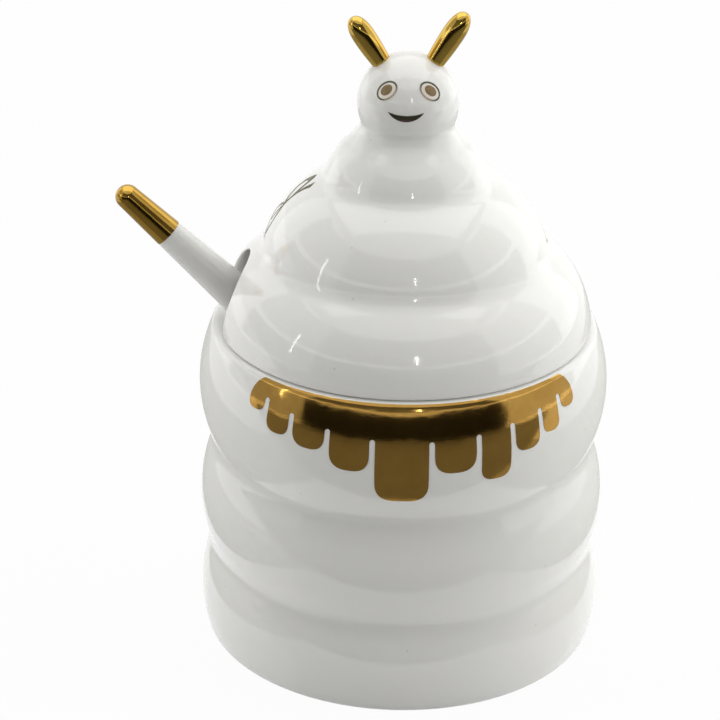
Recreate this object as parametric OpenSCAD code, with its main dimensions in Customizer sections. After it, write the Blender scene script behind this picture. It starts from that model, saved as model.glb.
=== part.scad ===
// Honey pot in the form of a hive. A lobed jar carries a domed lid of three rounded
// courses, whose knob is a round insect head with two antennae. The lid lifts off.
// A dipper stands in the jar and leans out to the left through an arch in the lid.
// The front looks along -Y, +X is to the right, and the origin is under the foot.

/* [Pot] */
// Widest diameter of the three rounded courses
pot_d = 100; // [98:0.5:108]
// Height of the rim above the table
pot_h = 82; // [76:0.5:92]
// Outer diameter of the rim
rim_d = 92.8; // [89:0.2:95]
// Diameter at the bottom of the upper groove
upper_groove_d = 93.2; // [88:0.2:96]
// Height of the upper groove
upper_groove_h = 51.5; // [47:0.5:56]
// Diameter at the bottom of the lower groove
lower_groove_d = 94.6; // [88:0.2:96]
// Height of the lower groove
lower_groove_h = 24; // [20:0.5:30]
// Diameter of the wall at the table
foot_d = 97.2; // [92:0.2:97.8]
// Thickness of the wall
pot_wall = 4; // [3:0.1:5]
// Thickness of the floor
pot_floor = 4.5; // [3:0.1:8]
// Depth of the recess under the floor
foot_recess = 1.5; // [0.5:0.1:3]
// Width of the ring that the pot stands on
foot_ring_w = 5; // [3:0.5:9]
// Length over which two courses run into a groove
groove_blend = 1.6; // [0.5:0.1:3]
// Rounding of the rim and of the foot
edge_blend = 1.4; // [0.5:0.1:1.6]

/* [Lid] */
// How far the lid's edge lies inside the rim's outer edge
lid_inset = 0.9; // [0.5:0.1:1.4]
// Diameter of the lid at its lower groove
lid_lower_d = 69; // [64:0.5:74]
// Height of the lid's lower groove above the rim
lid_lower_h = 19; // [16:0.5:22]
// Diameter of the lid at its upper groove
lid_upper_d = 39.8; // [36:0.2:44]
// Height of the lid's upper groove above the rim
lid_upper_h = 37.4; // [34:0.2:40]
// Diameter where the top course closes under the head
lid_top_d = 12.6; // [10:0.2:16]
// Height where the top course closes, above the rim
lid_top_h = 50.6; // [48:0.2:54]
// Height of each course's bulge over the straight line between its ends
lid_bulge = 2.7; // [1.5:0.1:3.5]
// Thickness of the lid's wall
lid_wall = 3.6; // [2.8:0.1:4.5]
// Depth of the ring that drops into the mouth
flange_h = 4.5; // [3:0.1:7]
// Thickness of that ring
flange_t = 3.1; // [2.5:0.1:4]
// Gap between that ring and the mouth
flange_gap = 0.5; // [0.3:0.1:1]

/* [Arch for the dipper] */
// Width of the arch, and of its round top
arch_w = 24; // [20:0.5:26]
// Height of the arch above the rim
arch_h = 16.4; // [15.5:0.1:18.5]
// Length over which the arch's sides flare out into the lid's edge
arch_flare = 5; // [1:0.5:5.5]

/* [Head] */
// Diameter of the head
head_d = 24.2; // [22:0.2:26]
// Height of the head's centre above the closed top of the lid
head_rise = 5.5; // [4.5:0.1:7]
// Length over which the neck carries on down from the head before it turns onto the lid
neck_blend = 2.2; // [1.5:0.1:3]
// Largest diameter of an antenna
antenna_d = 5.4; // [4:0.1:7]
// Diameter of an antenna at the head
antenna_root_d = 4.5; // [3:0.1:5.4]
// Distance from the head's centre to the end of the left antenna
antenna_left_len = 24.5; // [20:0.1:28]
// Angle between the left antenna and the upright
antenna_left_spread = 33.5; // [25:0.5:40]
// Distance from the head's centre to the end of the right antenna
antenna_right_len = 25.6; // [20:0.1:28]
// Angle between the right antenna and the upright
antenna_right_spread = 31; // [25:0.5:40]
// Length of an oval eye
eye_l = 5.5; // [4:0.1:6]
// Width of an oval eye
eye_w = 4.2; // [3:0.1:5]
// Angle between an eye's length and the level
eye_tilt = 44; // [0:1:90]
// Width of the thin ring round an eye
eye_ring_w = 0.32; // [0.2:0.02:0.6]
// Length of the iris
iris_l = 3.1; // [1.5:0.1:3.6]
// Width of the iris
iris_w = 2.4; // [1.2:0.1:2.8]
// Angle from the middle of the face to an eye, round the head
eye_turn = 28.8; // [22:0.2:34]
// Angle of the eyes above the level of the head's centre
eye_lift = 29.8; // [22:0.2:38]
// Width of the mouth
mouth_w = 8.4; // [5:0.1:10]
// Drop of the mouth's lower curve
mouth_drop = 2.2; // [1.6:0.1:3]
// Drop of the mouth's upper curve
mouth_top_drop = 0.7; // [0.4:0.1:1.2]
// Angle of the mouth's corners above the level of the head's centre
mouth_lift = 7.5; // [2:0.5:14]
// Turn of the mouth from the front, toward the right
mouth_turn = -2.5; // [-6:0.5:6]

/* [Gold lustre] */
// Thickness of the gold and of the printed eyes and mouth
gold_t = 0.15; // [0.1:0.01:0.25]
// Gap between two drips, measured round the widest course
drip_gap = 1.35; // [0.8:0.05:2]
// Turn of the band of drips from the front, toward the right
drips_turn = 4; // [-10:0.5:10]
// Depth of solid gold between the rim and the gaps at the middle of the band
band_h = 8.6; // [5:0.1:11]
// Turn of the wings' root from the front, round the lid's left side
wing_turn = 87.5; // [80:0.5:150]
// Height of the wings' root above the lid's lower groove
wing_root_h = 11.2; // [9:0.1:12]
// Width of a gold line in the wings
wing_line_w = 0.6; // [0.4:0.05:1]
// Length of the upper wing
upper_wing_len = 6.2; // [4:0.1:7]
// Width of the upper wing
upper_wing_w = 3; // [2:0.1:4]
// Angle by which the upper wing leans to the back
upper_wing_lean = 26; // [10:1:40]
// Angle by which the brush stroke before it leans to the front
wing_stroke_lean = 22; // [10:1:40]
// Width of that stroke at its thick end
wing_stroke_w = 1.3; // [0.6:0.1:2]
// Length of the lower wing
lower_wing_len = 9; // [6:0.1:10]
// Width of the lower wing
lower_wing_w = 5.4; // [3:0.1:6]
// Angle by which the lower wing leans to the back
lower_wing_lean = 28; // [10:1:50]

/* [Dipper] */
// Length of the dipper
dipper_len = 150; // [146:0.5:156]
// Diameter just behind the rounded tip
dipper_tip_d = 5.8; // [4.5:0.1:7]
// Largest diameter of the rod, where it crosses the rim
dipper_rod_d = 9.7; // [8.5:0.1:10.5]
// Diameter of the rod's neck at the comb
dipper_neck_d = 7; // [5:0.1:8.5]
// Diameter of the grooved comb
comb_d = 22; // [18:0.5:24]
// Length of the comb
comb_len = 27; // [22:0.5:30]
// Number of grooves round the comb
comb_grooves = 5; // [3:1:6]
// Depth of a groove
comb_groove_depth = 4.2; // [2:0.1:5.5]
// Length of the gold on the tip
gold_tip_len = 16.2; // [10:0.1:24]
// Clearance between the dipper and what it leans on
dipper_gap = 0.35; // [0.25:0.05:0.8]

/* [Hidden] */
$fn = 96;

// Steps along one rounded course, round one blended corner and up the head
run_steps = 14;
bend_steps = 4;
ball_steps = 28;
// Length that a cutting shape reaches past what it cuts
past = 1;
// Angle round the front, from -Y toward +X, turned into a turn about +Z
front = -90;
// Share of a drip's width over which its end is rounded
drip_rounding = 0.42;
// How much faster than the turn the gold between two drips thins out
band_fade = 1.4;
// Angle below the level at which the neck leaves the head
neck_angle = 20;
// Share of the lid's top course at which the neck runs out onto it
neck_foot_share = 0.52;
// Share of that course's bulge which the neck's end keeps
neck_sink = 0.8;
// Share of an antenna's length at which it is thickest, and how blunt its end is
antenna_swell = 0.58;
antenna_blunt = 2.3;
// How much fuller a wing's outline is toward its end
wing_fullness = 0.35;
// Share of a wing's length that its vein runs
vein_share = 0.6;
// Share of the comb's pitch that a fin fills, and how blunt the comb's ends are
fin_share = 0.52;
comb_blunt = 3;
// Share of the rod below the rim at which it has swollen by the same share
rod_swell = 0.6;

rim_r = rim_d / 2;
mouth_r = rim_r - pot_wall;
foot_r = foot_d / 2;
floor_z = foot_recess + pot_floor;
lid_edge_r = rim_r - lid_inset;
flange_r = mouth_r - flange_gap;
head_z = pot_h + lid_top_h + head_rise;

// Drips from left to right: each one's width, and its length down from the rim
drip_w = [5.2, 6.4, 8.4, 9.6, 12.6, 10, 7.6, 7, 5.3, 5.1];
drip_len = [7.6, 11.4, 12.8, 16.5, 24, 16.6, 19.8, 14.2, 11.8, 7.8];

function lerp(a, b, t) = a + t * (b - a);

// Point at share t of an arc from p to q that stands s clear of the chord, to the right
function arc_at(p, q, s, t) =
    abs(s) < 0.001 ? lerp(p, q, t) :
    let (c = norm(q - p), r = (c * c / 4 + s * s) / (2 * s), half = asin(c / 2 / r))
    let (along = (q - p) / c, out = [along[1], -along[0]])
    let (centre = (p + q) / 2 - (r - s) * out, a = half * (2 * t - 1))
    centre + r * (cos(a) * out + sin(a) * along);

// Quarter-turn like corner from a to b, drawn toward c
function bend(a, c, b) =
    [for (i = [0:bend_steps]) let (t = i / bend_steps)
        lerp(lerp(a, c, t), lerp(c, b, t), t)];

// Outline through the corners [x, y, blend, bulge]: each corner is blended over its
// length, and the run from it to the next corner is an arc of that bulge
function xy(c) = [c[0], c[1]];
function corner(before, here, after) =
    here[2] == 0 ? [xy(here)] :
    bend(arc_at(xy(before), xy(here), before[3], 1 - here[2] / norm(xy(here) - xy(before))),
         xy(here),
         arc_at(xy(here), xy(after), here[3], here[2] / norm(xy(after) - xy(here))));
function course(here, after) =
    here[3] == 0 ? [] :
    let (c = norm(xy(after) - xy(here)), t0 = here[2] / c, t1 = 1 - after[2] / c)
    [for (i = [1:run_steps - 1]) arc_at(xy(here), xy(after), here[3], lerp(t0, t1, i / run_steps))];
function outline(corners) =
    let (n = len(corners))
    [for (i = [0:n - 1])
        each concat(corner(corners[(i + n - 1) % n], corners[i], corners[(i + 1) % n]),
                    course(corners[i], corners[(i + 1) % n]))];

// The part of a wall's outline between two heights, and a skin of thickness t on it
function between(points, low, high) = [for (p = points) if (p[1] > low && p[1] < high) p];
function outward(points, i) =
    let (a = points[max(i - 1, 0)], b = points[min(i + 1, len(points) - 1)], d = (b - a) / norm(b - a))
    [d[1], -d[0]];
function skin(points, t) =
    concat(points, [for (i = [len(points) - 1:-1:0]) points[i] + t * outward(points, i)]);

// Pot: the same courses outside and inside, a thickness of wall apart
function course_bulge(d0, d1) = pot_d / 2 - (d0 + d1) / 4;
low_bulge = course_bulge(foot_d, lower_groove_d);
mid_bulge = course_bulge(lower_groove_d, upper_groove_d);
top_bulge = course_bulge(upper_groove_d, rim_d);
function pot_outside() = [
    [foot_r, 0, edge_blend, low_bulge],
    [lower_groove_d / 2, lower_groove_h, groove_blend, mid_bulge],
    [upper_groove_d / 2, upper_groove_h, groove_blend, top_bulge],
    [rim_r, pot_h, edge_blend, 0]];
function pot_inside() = [
    [mouth_r, pot_h, edge_blend / 2, -top_bulge],
    [upper_groove_d / 2 - pot_wall, upper_groove_h, groove_blend, -mid_bulge],
    [lower_groove_d / 2 - pot_wall, lower_groove_h, groove_blend, -low_bulge / 2],
    [foot_r - pot_wall, floor_z, 3 * edge_blend, 0],
    [0, floor_z, 0, 0]];
function pot_underside() = [
    [0, foot_recess, 0, 0],
    [foot_r - edge_blend - foot_ring_w - foot_recess, foot_recess, 0, 0],
    [foot_r - edge_blend - foot_ring_w, 0, 0, 0]];
pot_face = between(outline(concat(pot_outside(), [[0, pot_h, 0, 0], [0, 0, 0, 0]])),
                   lower_groove_h, pot_h - edge_blend / 2);

module pot() {
    color("whitesmoke")
    rotate_extrude()
    polygon(outline(concat(pot_outside(), pot_inside(), pot_underside())));
}

// Half of an angle that a width takes up round the widest course
function half_turn(w) = w / pot_d * 180 / PI;
drips_w = [for (i = 0, s = 0; i < len(drip_w); s = s + drip_w[i] + drip_gap, i = i + 1) s + drip_w[i] / 2];
drips_span = drips_w[len(drip_w) - 1] + drip_w[len(drip_w) - 1] / 2;
function drip_turn(i) = drips_turn + 2 * half_turn(drips_w[i] - drips_span / 2);
function gap_turn(i) = drips_turn
    + 2 * half_turn((drips_w[i] + drips_w[i + 1] + (drip_w[i] - drip_w[i + 1]) / 2) / 2 - drips_span / 2);
// The gaps reach higher toward both ends of the band
function gap_top(i) = pot_h - band_h * cos(band_fade * (gap_turn(i) - drips_turn));

// Stands an outline drawn in x and height on the wall, at an angle round the front
module facing(turn, near, far) {
    rotate([0, 0, front + turn])
    translate([near, 0, 0])
    rotate([90, 0, 90])
    linear_extrude(far - near)
    children();
}

module drip(i) {
    w = drip_w[i];
    round_end = w * drip_rounding;
    left = i == 0 ? w - past / 2 : 0;
    right = i == len(drip_w) - 1 ? w - past / 2 : 0;
    facing(drip_turn(i), mouth_r, pot_d / 2 + past)
    polygon(outline([
        [-w / 2, pot_h, left, 0],
        [-w / 2, pot_h - drip_len[i], round_end, 0],
        [w / 2, pot_h - drip_len[i], round_end, 0],
        [w / 2, pot_h, right, 0]]));
}

module bridge(i) {
    reach = drip_gap / 2 + min(drip_w[i], drip_w[i + 1]) / 3;
    facing(gap_turn(i), mouth_r, pot_d / 2 + past)
    difference() {
        translate([-reach, gap_top(i) - drip_gap / 2])
        square([2 * reach, pot_h - gap_top(i) + drip_gap / 2]);
        translate([0, gap_top(i) - drip_gap / 2])
        circle(d = drip_gap);
    }
}

module honey_drips() {
    color("goldenrod")
    intersection() {
        rotate_extrude()
        polygon(skin(pot_face, gold_t));
        union() {
            for (i = [0:len(drip_w) - 1]) drip(i);
            for (i = [0:len(drip_w) - 2]) bridge(i);
        }
    }
}

// Lid: three courses, closed at the top under the head
lid_slope = atan2(lid_top_h, lid_edge_r - lid_top_d / 2);
lid_in = lid_wall * [-sin(lid_slope), -cos(lid_slope)];
function lid_outside() = [
    [lid_edge_r, pot_h, edge_blend / 2, lid_bulge],
    [lid_lower_d / 2, pot_h + lid_lower_h, groove_blend, lid_bulge],
    [lid_upper_d / 2, pot_h + lid_upper_h, groove_blend, lid_bulge],
    [lid_top_d / 2, pot_h + lid_top_h, 0, 0],
    [0, pot_h + lid_top_h, 0, 0]];
function lid_inside() = [
    [0, pot_h + lid_top_h - lid_wall, 0, 0],
    [lid_top_d / 2 + lid_in[0], pot_h + lid_top_h - lid_wall, groove_blend / 2, -lid_bulge],
    [lid_upper_d / 2 + lid_in[0], pot_h + lid_upper_h + lid_in[1], groove_blend, -lid_bulge],
    [lid_lower_d / 2 + lid_in[0], pot_h + lid_lower_h + lid_in[1], groove_blend, -lid_bulge / 2],
    [flange_r - flange_t, pot_h, 0, 0],
    [flange_r - flange_t, pot_h - flange_h, edge_blend / 2, 0],
    [flange_r, pot_h - flange_h, edge_blend / 2, 0],
    [flange_r, pot_h, 0, 0]];
lid_shape = outline(concat(lid_outside(), [[0, pot_h, 0, 0]]));
lid_face = between(lid_shape, pot_h + lid_lower_h, pot_h + lid_top_h - past);

module lid_filled() {
    rotate_extrude()
    polygon(lid_shape);
}

// The arch runs through the lid's left wall only, from inside the cavity outward
module arch() {
    cavity_r = lid_lower_d / 2 - 2 * lid_wall;
    side = arch_w / 2;
    flare = min(arch_flare, arch_h - side);
    foot = side + arch_flare;
    low = pot_h - flange_h - past;
    rotate([90, 0, -90])
    translate([0, 0, cavity_r])
    linear_extrude(rim_r - cavity_r + past)
    polygon(concat(
        [[-foot, low], [foot, low]],
        bend([foot, pot_h], [side, pot_h], [side, pot_h + flare]),
        [for (a = [10:10:170]) [side * cos(a), pot_h + arch_h - side + side * sin(a)]],
        bend([-side, pot_h + flare], [-side, pot_h], [-foot, pot_h])));
}

module lid() {
    color("whitesmoke")
    difference() {
        rotate_extrude()
        polygon(outline(concat(lid_outside(), lid_inside())));
        arch();
    }
}

// Head: a ball whose neck runs out onto the lid's top course
head_r = head_d / 2;
neck_point = [head_r * cos(neck_angle), head_z - head_r * sin(neck_angle)];
neck_waist = neck_point - neck_blend * [sin(neck_angle), cos(neck_angle)];
// The neck's end lies a little under the course's surface
neck_foot = arc_at([lid_upper_d / 2, pot_h + lid_upper_h], [lid_top_d / 2, pot_h + lid_top_h],
                   lid_bulge * neck_sink, neck_foot_share);
head_ball = [for (i = [0:ball_steps - 1]) let (a = lerp(-neck_angle, 90, i / ball_steps))
    [head_r * cos(a), head_z + head_r * sin(a)]];
head_shape = concat(
    [[0, head_z - head_r], [neck_foot[0], head_z - head_r]],
    bend(neck_foot, neck_waist, neck_point),
    [for (i = [1:len(head_ball) - 1]) head_ball[i]],
    [[0, head_z + head_r]]);

module head_filled() {
    rotate_extrude()
    polygon(head_shape);
}

module head() {
    color("whitesmoke")
    difference() {
        head_filled();
        lid_filled();
    }
}

// Antenna: it swells from the head to its thickest place, and ends in a blunt round
module antenna(lean, reach) {
    root = head_r * cos(neck_angle);
    thick = lerp(root, reach, antenna_swell);
    color("goldenrod")
    difference() {
        translate([0, 0, head_z])
        rotate([0, lean, 0])
        rotate_extrude()
        polygon(concat(
            [[0, root]],
            [for (a = [0:15:75]) [lerp(antenna_root_d, antenna_d, sin(a)) / 2, lerp(root, thick, a / 90)]],
            [for (a = [0:6:84]) let (u = sin(a))
                [antenna_d / 2 * pow(1 - pow(u, antenna_blunt), 1 / antenna_blunt), lerp(thick, reach, u)]],
            [[0, reach]]));
        head_filled();
    }
}
module antenna_left() antenna(-antenna_left_spread, antenna_left_len);
module antenna_right() antenna(antenna_right_spread, antenna_right_len);

// Looks from the head's centre at a place on the face
module on_face(turn, lift) {
    translate([0, 0, head_z])
    rotate([0, 0, front + turn])
    rotate([0, 90 - lift, 0])
    children();
}

module face_skin() {
    rotate_extrude()
    polygon(skin(head_ball, gold_t));
}

// Oval with its length across, and its width down the face
function oval(l, w) = [for (a = [0:12:348]) [w / 2 * cos(a), l / 2 * sin(a)]];

module eye(side) {
    color("darkgoldenrod")
    intersection() {
        face_skin();
        on_face(side * eye_turn, eye_lift)
        rotate(-side * eye_tilt)
        linear_extrude(head_r + past)
        union() {
            polygon(oval(iris_l, iris_w));
            difference() {
                polygon(oval(eye_l, eye_w));
                polygon(oval(eye_l - 2 * eye_ring_w, eye_w - 2 * eye_ring_w));
            }
        }
    }
}
module eye_left() eye(-1);
module eye_right() eye(1);

// A circle through both corners of the mouth that drops by d between them
function smile_r(d) = (mouth_w * mouth_w / 4 + d * d) / (2 * d);

module mouth() {
    color("darkolivegreen")
    intersection() {
        face_skin();
        translate([0, 0, head_z])
        rotate([90 - mouth_lift, 0, mouth_turn])
        linear_extrude(head_r + past)
        difference() {
            translate([0, smile_r(mouth_drop) - mouth_drop])
            circle(smile_r(mouth_drop));
            translate([0, smile_r(mouth_top_drop) - mouth_top_drop])
            circle(smile_r(mouth_top_drop));
        }
    }
}

// Wing: the drawn outline of a leaf that points up from its root
function leaf(l, w) =
    [for (a = [0:15:345]) [w / 2 * sin(a) * (1 - wing_fullness * cos(a)), l / 2 * (1 - cos(a))]];

module leaf_line(l, w) {
    difference() {
        polygon(leaf(l, w));
        translate([0, wing_line_w])
        polygon(leaf(l - 2 * wing_line_w, w - 2 * wing_line_w));
    }
}

// A brush stroke up from the root that bows and thickens toward its end
module brush_stroke(l, w) {
    shares = [for (i = [0:6]) i / 6];
    function bow(t) = -w * t * (1 - t);
    function half(t) = lerp(wing_line_w, w, t) / 2;
    polygon(concat(
        [for (t = shares) [bow(t) + half(t), l * t]],
        [for (i = [6:-1:0]) let (t = shares[i]) [bow(t) - half(t), l * t]]));
}

module on_lid_wall() {
    color("goldenrod")
    intersection() {
        rotate_extrude()
        polygon(skin(lid_face, gold_t));
        facing(-wing_turn, lid_upper_d / 4, rim_r)
        translate([0, pot_h + lid_lower_h + wing_root_h])
        children();
    }
}

module wing_upper() {
    on_lid_wall()
    union() {
        rotate(upper_wing_lean)
        leaf_line(upper_wing_len, upper_wing_w);
        rotate(-wing_stroke_lean)
        brush_stroke(upper_wing_len, wing_stroke_w);
    }
}

module wing_lower() {
    on_lid_wall()
    translate([0, -wing_line_w / 2])
    rotate(180 - lower_wing_lean)
    union() {
        leaf_line(lower_wing_len, lower_wing_w);
        translate([-wing_line_w / 2, wing_line_w])
        square([wing_line_w, lower_wing_len * vein_share]);
    }
}

// Dipper: its comb stands on the floor near the far wall, and its rod clears the mouth's
// inner edge, which sets how far it leans
rod_r = dipper_rod_d / 2;
comb_r = comb_d / 2;
neck_r = dipper_neck_d / 2;
tip_r = dipper_tip_d / 2;
comb_reach = max(comb_len / 2, comb_r) + dipper_gap;
comb_x = lower_groove_d / 2 - pot_wall - comb_reach;
comb_z = floor_z + comb_reach;
edge_rise = pot_h - comb_z;
edge_run = comb_x + mouth_r;
lean_away = rod_r + dipper_gap;
dipper_lean = atan2(edge_rise, edge_run) + asin(lean_away / norm([edge_rise, edge_run]));
cross_x = mouth_r - lean_away * sin(dipper_lean);
cross_z = pot_h + lean_away * cos(dipper_lean);
comb_below = (cross_z - comb_z) / sin(dipper_lean) + comb_len / 2;
rod_top = dipper_len - tip_r;

function comb_edge(t) = comb_r * sqrt(max(0, 1 - pow(abs(2 * t - 1), comb_blunt)));
comb_pitch = comb_len / (comb_grooves + 1);
function fin_point(i, share) = let (z = (i + share) * comb_pitch) [comb_edge(z / comb_len), z];
// A fin's root, its two rounded shoulders and its top, between two grooves
function fin(i) =
    let (low = (1 - fin_share) / 2, high = low + fin_share, middle = (low + high) / 2)
    let (root = fin_point(i, low)[0] - (i == 0 ? 0 : comb_groove_depth))
    [[max(root, neck_r), (i + low / 2) * comb_pitch],
     fin_point(i, (low + middle) / 2), fin_point(i, middle), fin_point(i, high)];
comb_outline = [for (i = [0:comb_grooves]) each fin(i)];
rod_side = [
    [neck_r, comb_len],
    [neck_r, comb_len + comb_pitch],
    [lerp(neck_r, rod_r, rod_swell), lerp(comb_len, comb_below, rod_swell)],
    [rod_r, comb_below]];
rod_end = [for (a = [0:10:90]) [tip_r * cos(a), rod_top + tip_r * sin(a)]];
dipper_shape = concat(comb_outline, rod_side, rod_end);
// The rod's end that the gold covers, from a point on its taper
gilt_shape = concat([[lerp(tip_r, rod_r, (gold_tip_len - tip_r) / (rod_top - comb_below)),
                      dipper_len - gold_tip_len]], rod_end);

// Places what is drawn along +Z, from the comb's end, on the leaning axis
module leaning() {
    translate([-cross_x, 0, cross_z])
    rotate([0, dipper_lean - 90, 0])
    translate([0, 0, -comb_below])
    children();
}

module dipper() {
    color("whitesmoke")
    leaning()
    rotate_extrude()
    polygon(concat([[0, 0]], dipper_shape));
}

module dipper_gilding() {
    color("goldenrod")
    leaning()
    rotate_extrude()
    polygon(skin(gilt_shape, gold_t));
}

pot();
honey_drips();
lid();
head();
antenna_left();
antenna_right();
eye_left();
eye_right();
mouth();
wing_upper();
wing_lower();
dipper();
dipper_gilding();
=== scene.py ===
import math

import bmesh
import bpy
import numpy as np
from mathutils import Matrix, Vector


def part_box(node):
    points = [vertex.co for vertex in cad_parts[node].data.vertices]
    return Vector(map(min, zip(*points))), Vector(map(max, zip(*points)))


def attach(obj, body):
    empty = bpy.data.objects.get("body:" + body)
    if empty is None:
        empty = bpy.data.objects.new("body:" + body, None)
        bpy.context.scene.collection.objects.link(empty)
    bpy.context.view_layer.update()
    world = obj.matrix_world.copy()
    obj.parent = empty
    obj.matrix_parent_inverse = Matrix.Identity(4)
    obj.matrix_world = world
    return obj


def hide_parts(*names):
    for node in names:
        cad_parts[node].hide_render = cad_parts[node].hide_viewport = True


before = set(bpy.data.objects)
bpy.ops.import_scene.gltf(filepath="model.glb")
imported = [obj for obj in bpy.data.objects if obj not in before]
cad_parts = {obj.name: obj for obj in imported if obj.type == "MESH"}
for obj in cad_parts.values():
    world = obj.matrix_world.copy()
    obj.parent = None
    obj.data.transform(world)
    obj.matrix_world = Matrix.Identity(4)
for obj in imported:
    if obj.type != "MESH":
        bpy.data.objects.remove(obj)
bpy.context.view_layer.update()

# Camera: it stands in front of the pot and looks down on it, close enough for the rim
# to show as an open ellipse. Turn, tip and roll are small, as in a hand-held shot.
scene = bpy.context.scene
look_up = 0.075
camera_distance = 0.670
camera_height_angle = math.radians(25.45)
camera_turn = math.radians(0.907)
camera_tip = math.radians(-0.352)
camera_roll = math.radians(-1.10)
camera_lens = 136.8

forward = Vector((0, math.cos(camera_height_angle), -math.sin(camera_height_angle)))
right = Vector((1, 0, 0))
up = right.cross(forward)
for axis_name, angle in (("up", camera_turn), ("right", camera_tip), ("forward", camera_roll)):
    turn = Matrix.Rotation(angle, 3, {"up": up, "right": right, "forward": forward}[axis_name])
    forward, right, up = turn @ forward, turn @ right, turn @ up
camera_data = bpy.data.cameras.new("camera")
camera_data.lens = camera_lens
camera_data.sensor_width = 36
camera = bpy.data.objects.new("camera", camera_data)
spot = Vector((0, -camera_distance * math.cos(camera_height_angle),
               look_up + camera_distance * math.sin(camera_height_angle)))
pose = Matrix((right, up, -forward)).transposed().to_4x4()
pose.translation = spot
camera.matrix_world = pose
scene.collection.objects.link(camera)
scene.camera = camera


# Pot: a slip-cast porcelain jar of three rounded courses that meet in tight grooves.
# Its wall is one thickness all over, the rim and foot are rounded by the glaze, and it
# stands on a narrow foot ring round a shallow recess.
mm = 0.001
pot_r = 49.98 * mm      # 0.02 mm short of the solid's, which leaves room for the gilding
pot_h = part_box("pot")[1].z
rim_r = 46.4 * mm
upper_groove = (46.6 * mm, 51.5 * mm)
lower_groove = (47.3 * mm, 24 * mm)
foot_r = 48.6 * mm
wall = 4 * mm
floor_z = 6 * mm
foot_recess = 1.5 * mm
foot_ring_w = 5 * mm
groove_blend = 2.2 * mm
edge_blend = 1.4 * mm
glaze_white = (0.80, 0.805, 0.775, 1)
glaze_warm = (0.82, 0.81, 0.77, 1)
glaze_rough = (0.05, 0.10)
drift_scale, speck_scale, wave_scale, peel_scale = 34.0, 130.0, 70.0, 1100.0
speck_tone = 0.86
wave_height = 0.22 * mm
peel_height = 0.012 * mm
light_bleed = 1.5 * mm


def lerp(a, b, t):
    return a + (b - a) * t


def arc_at(p, q, bulge, t):
    """The point at share t of an arc from p to q that stands bulge clear of the chord."""
    p, q = np.array(p, float), np.array(q, float)
    if abs(bulge) < 1e-7:
        return lerp(p, q, t)
    chord = np.linalg.norm(q - p)
    radius = (chord * chord / 4 + bulge * bulge) / (2 * bulge)
    half = math.asin(chord / 2 / radius)
    along = (q - p) / chord
    out = np.array([along[1], -along[0]])
    angle = half * (2 * t - 1)
    return (p + q) / 2 - (radius - bulge) * out + radius * (math.cos(angle) * out + math.sin(angle) * along)


def bend(a, c, b, steps=6):
    """A rounded corner from a to b, drawn toward c."""
    a, c, b = (np.array(p, float) for p in (a, c, b))
    return [lerp(lerp(a, c, t), lerp(c, b, t), t) for t in np.linspace(0, 1, steps + 1)]


def outline(corners, closed=False, steps=26):
    """Points along the corners (r, z, blend, bulge of the run to the next corner)."""
    points, count = [], len(corners)
    for i, here in enumerate(corners):
        before, after = corners[i - 1], corners[(i + 1) % count]
        if here[2] and (closed or 0 < i < count - 1):
            back = np.linalg.norm(np.subtract(here[:2], before[:2]))
            on = np.linalg.norm(np.subtract(after[:2], here[:2]))
            points += bend(arc_at(before[:2], here[:2], before[3], 1 - here[2] / back), here[:2],
                           arc_at(here[:2], after[:2], here[3], here[2] / on))
        else:
            points.append(np.array(here[:2], float))
        if here[3] and (closed or i < count - 1):
            length = np.linalg.norm(np.subtract(after[:2], here[:2]))
            for t in np.linspace(here[2] / length, 1 - after[2] / length, steps + 1)[1:-1]:
                points.append(arc_at(here[:2], after[:2], here[3], t))
    return points


def finished(name, verts, faces, sharp=35):
    """A smooth-shaded object of these faces, with edges sharper than the angle kept crisp."""
    mesh = bpy.data.meshes.new(name)
    mesh.from_pydata([tuple(v) for v in verts], [], faces)
    made = bmesh.new()
    made.from_mesh(mesh)
    bmesh.ops.remove_doubles(made, verts=made.verts, dist=1e-7)
    bmesh.ops.recalc_face_normals(made, faces=made.faces)
    for face in made.faces:
        face.smooth = True
    for edge in made.edges:
        if len(edge.link_faces) == 2 and edge.calc_face_angle(0) > math.radians(sharp):
            edge.smooth = False
    made.to_mesh(mesh)
    made.free()
    piece = bpy.data.objects.new(name, mesh)
    scene.collection.objects.link(piece)
    return piece


def lathe(name, profile, segments=288, place=Matrix.Identity(4), sharp=35):
    """Turns a profile of (r, z) about the Z axis; points on the axis become one point."""
    rows, verts, faces = [], [], []
    for r, z in profile:
        if r < 1e-7:
            rows.append([len(verts)] * segments)
            verts.append(place @ Vector((0, 0, z)))
            continue
        rows.append(list(range(len(verts), len(verts) + segments)))
        for k in range(segments):
            a = 2 * math.pi * k / segments
            verts.append(place @ Vector((r * math.cos(a), r * math.sin(a), z)))
    for low, high in zip(rows, rows[1:]):
        for k in range(segments):
            n = (k + 1) % segments
            face = list(dict.fromkeys((low[k], low[n], high[n], high[k])))
            if len(face) > 2:
                faces.append(face)
    return finished(name, verts, faces, sharp)


def wire(tree, *chain):
    """Adds nodes to a tree: each is (type, {input: value or (node, output)}, {setting: value})."""
    made = []
    for kind, inputs, settings in chain:
        node = tree.nodes.new(kind)
        for key, value in settings.items():
            setattr(node, key, value)
        for key, value in inputs.items():
            if isinstance(value, tuple) and len(value) == 2 and hasattr(value[0], "outputs"):
                tree.links.new(value[0].outputs[value[1]], node.inputs[key])
            else:
                node.inputs[key].default_value = value
        made.append(node)
    return made


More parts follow.
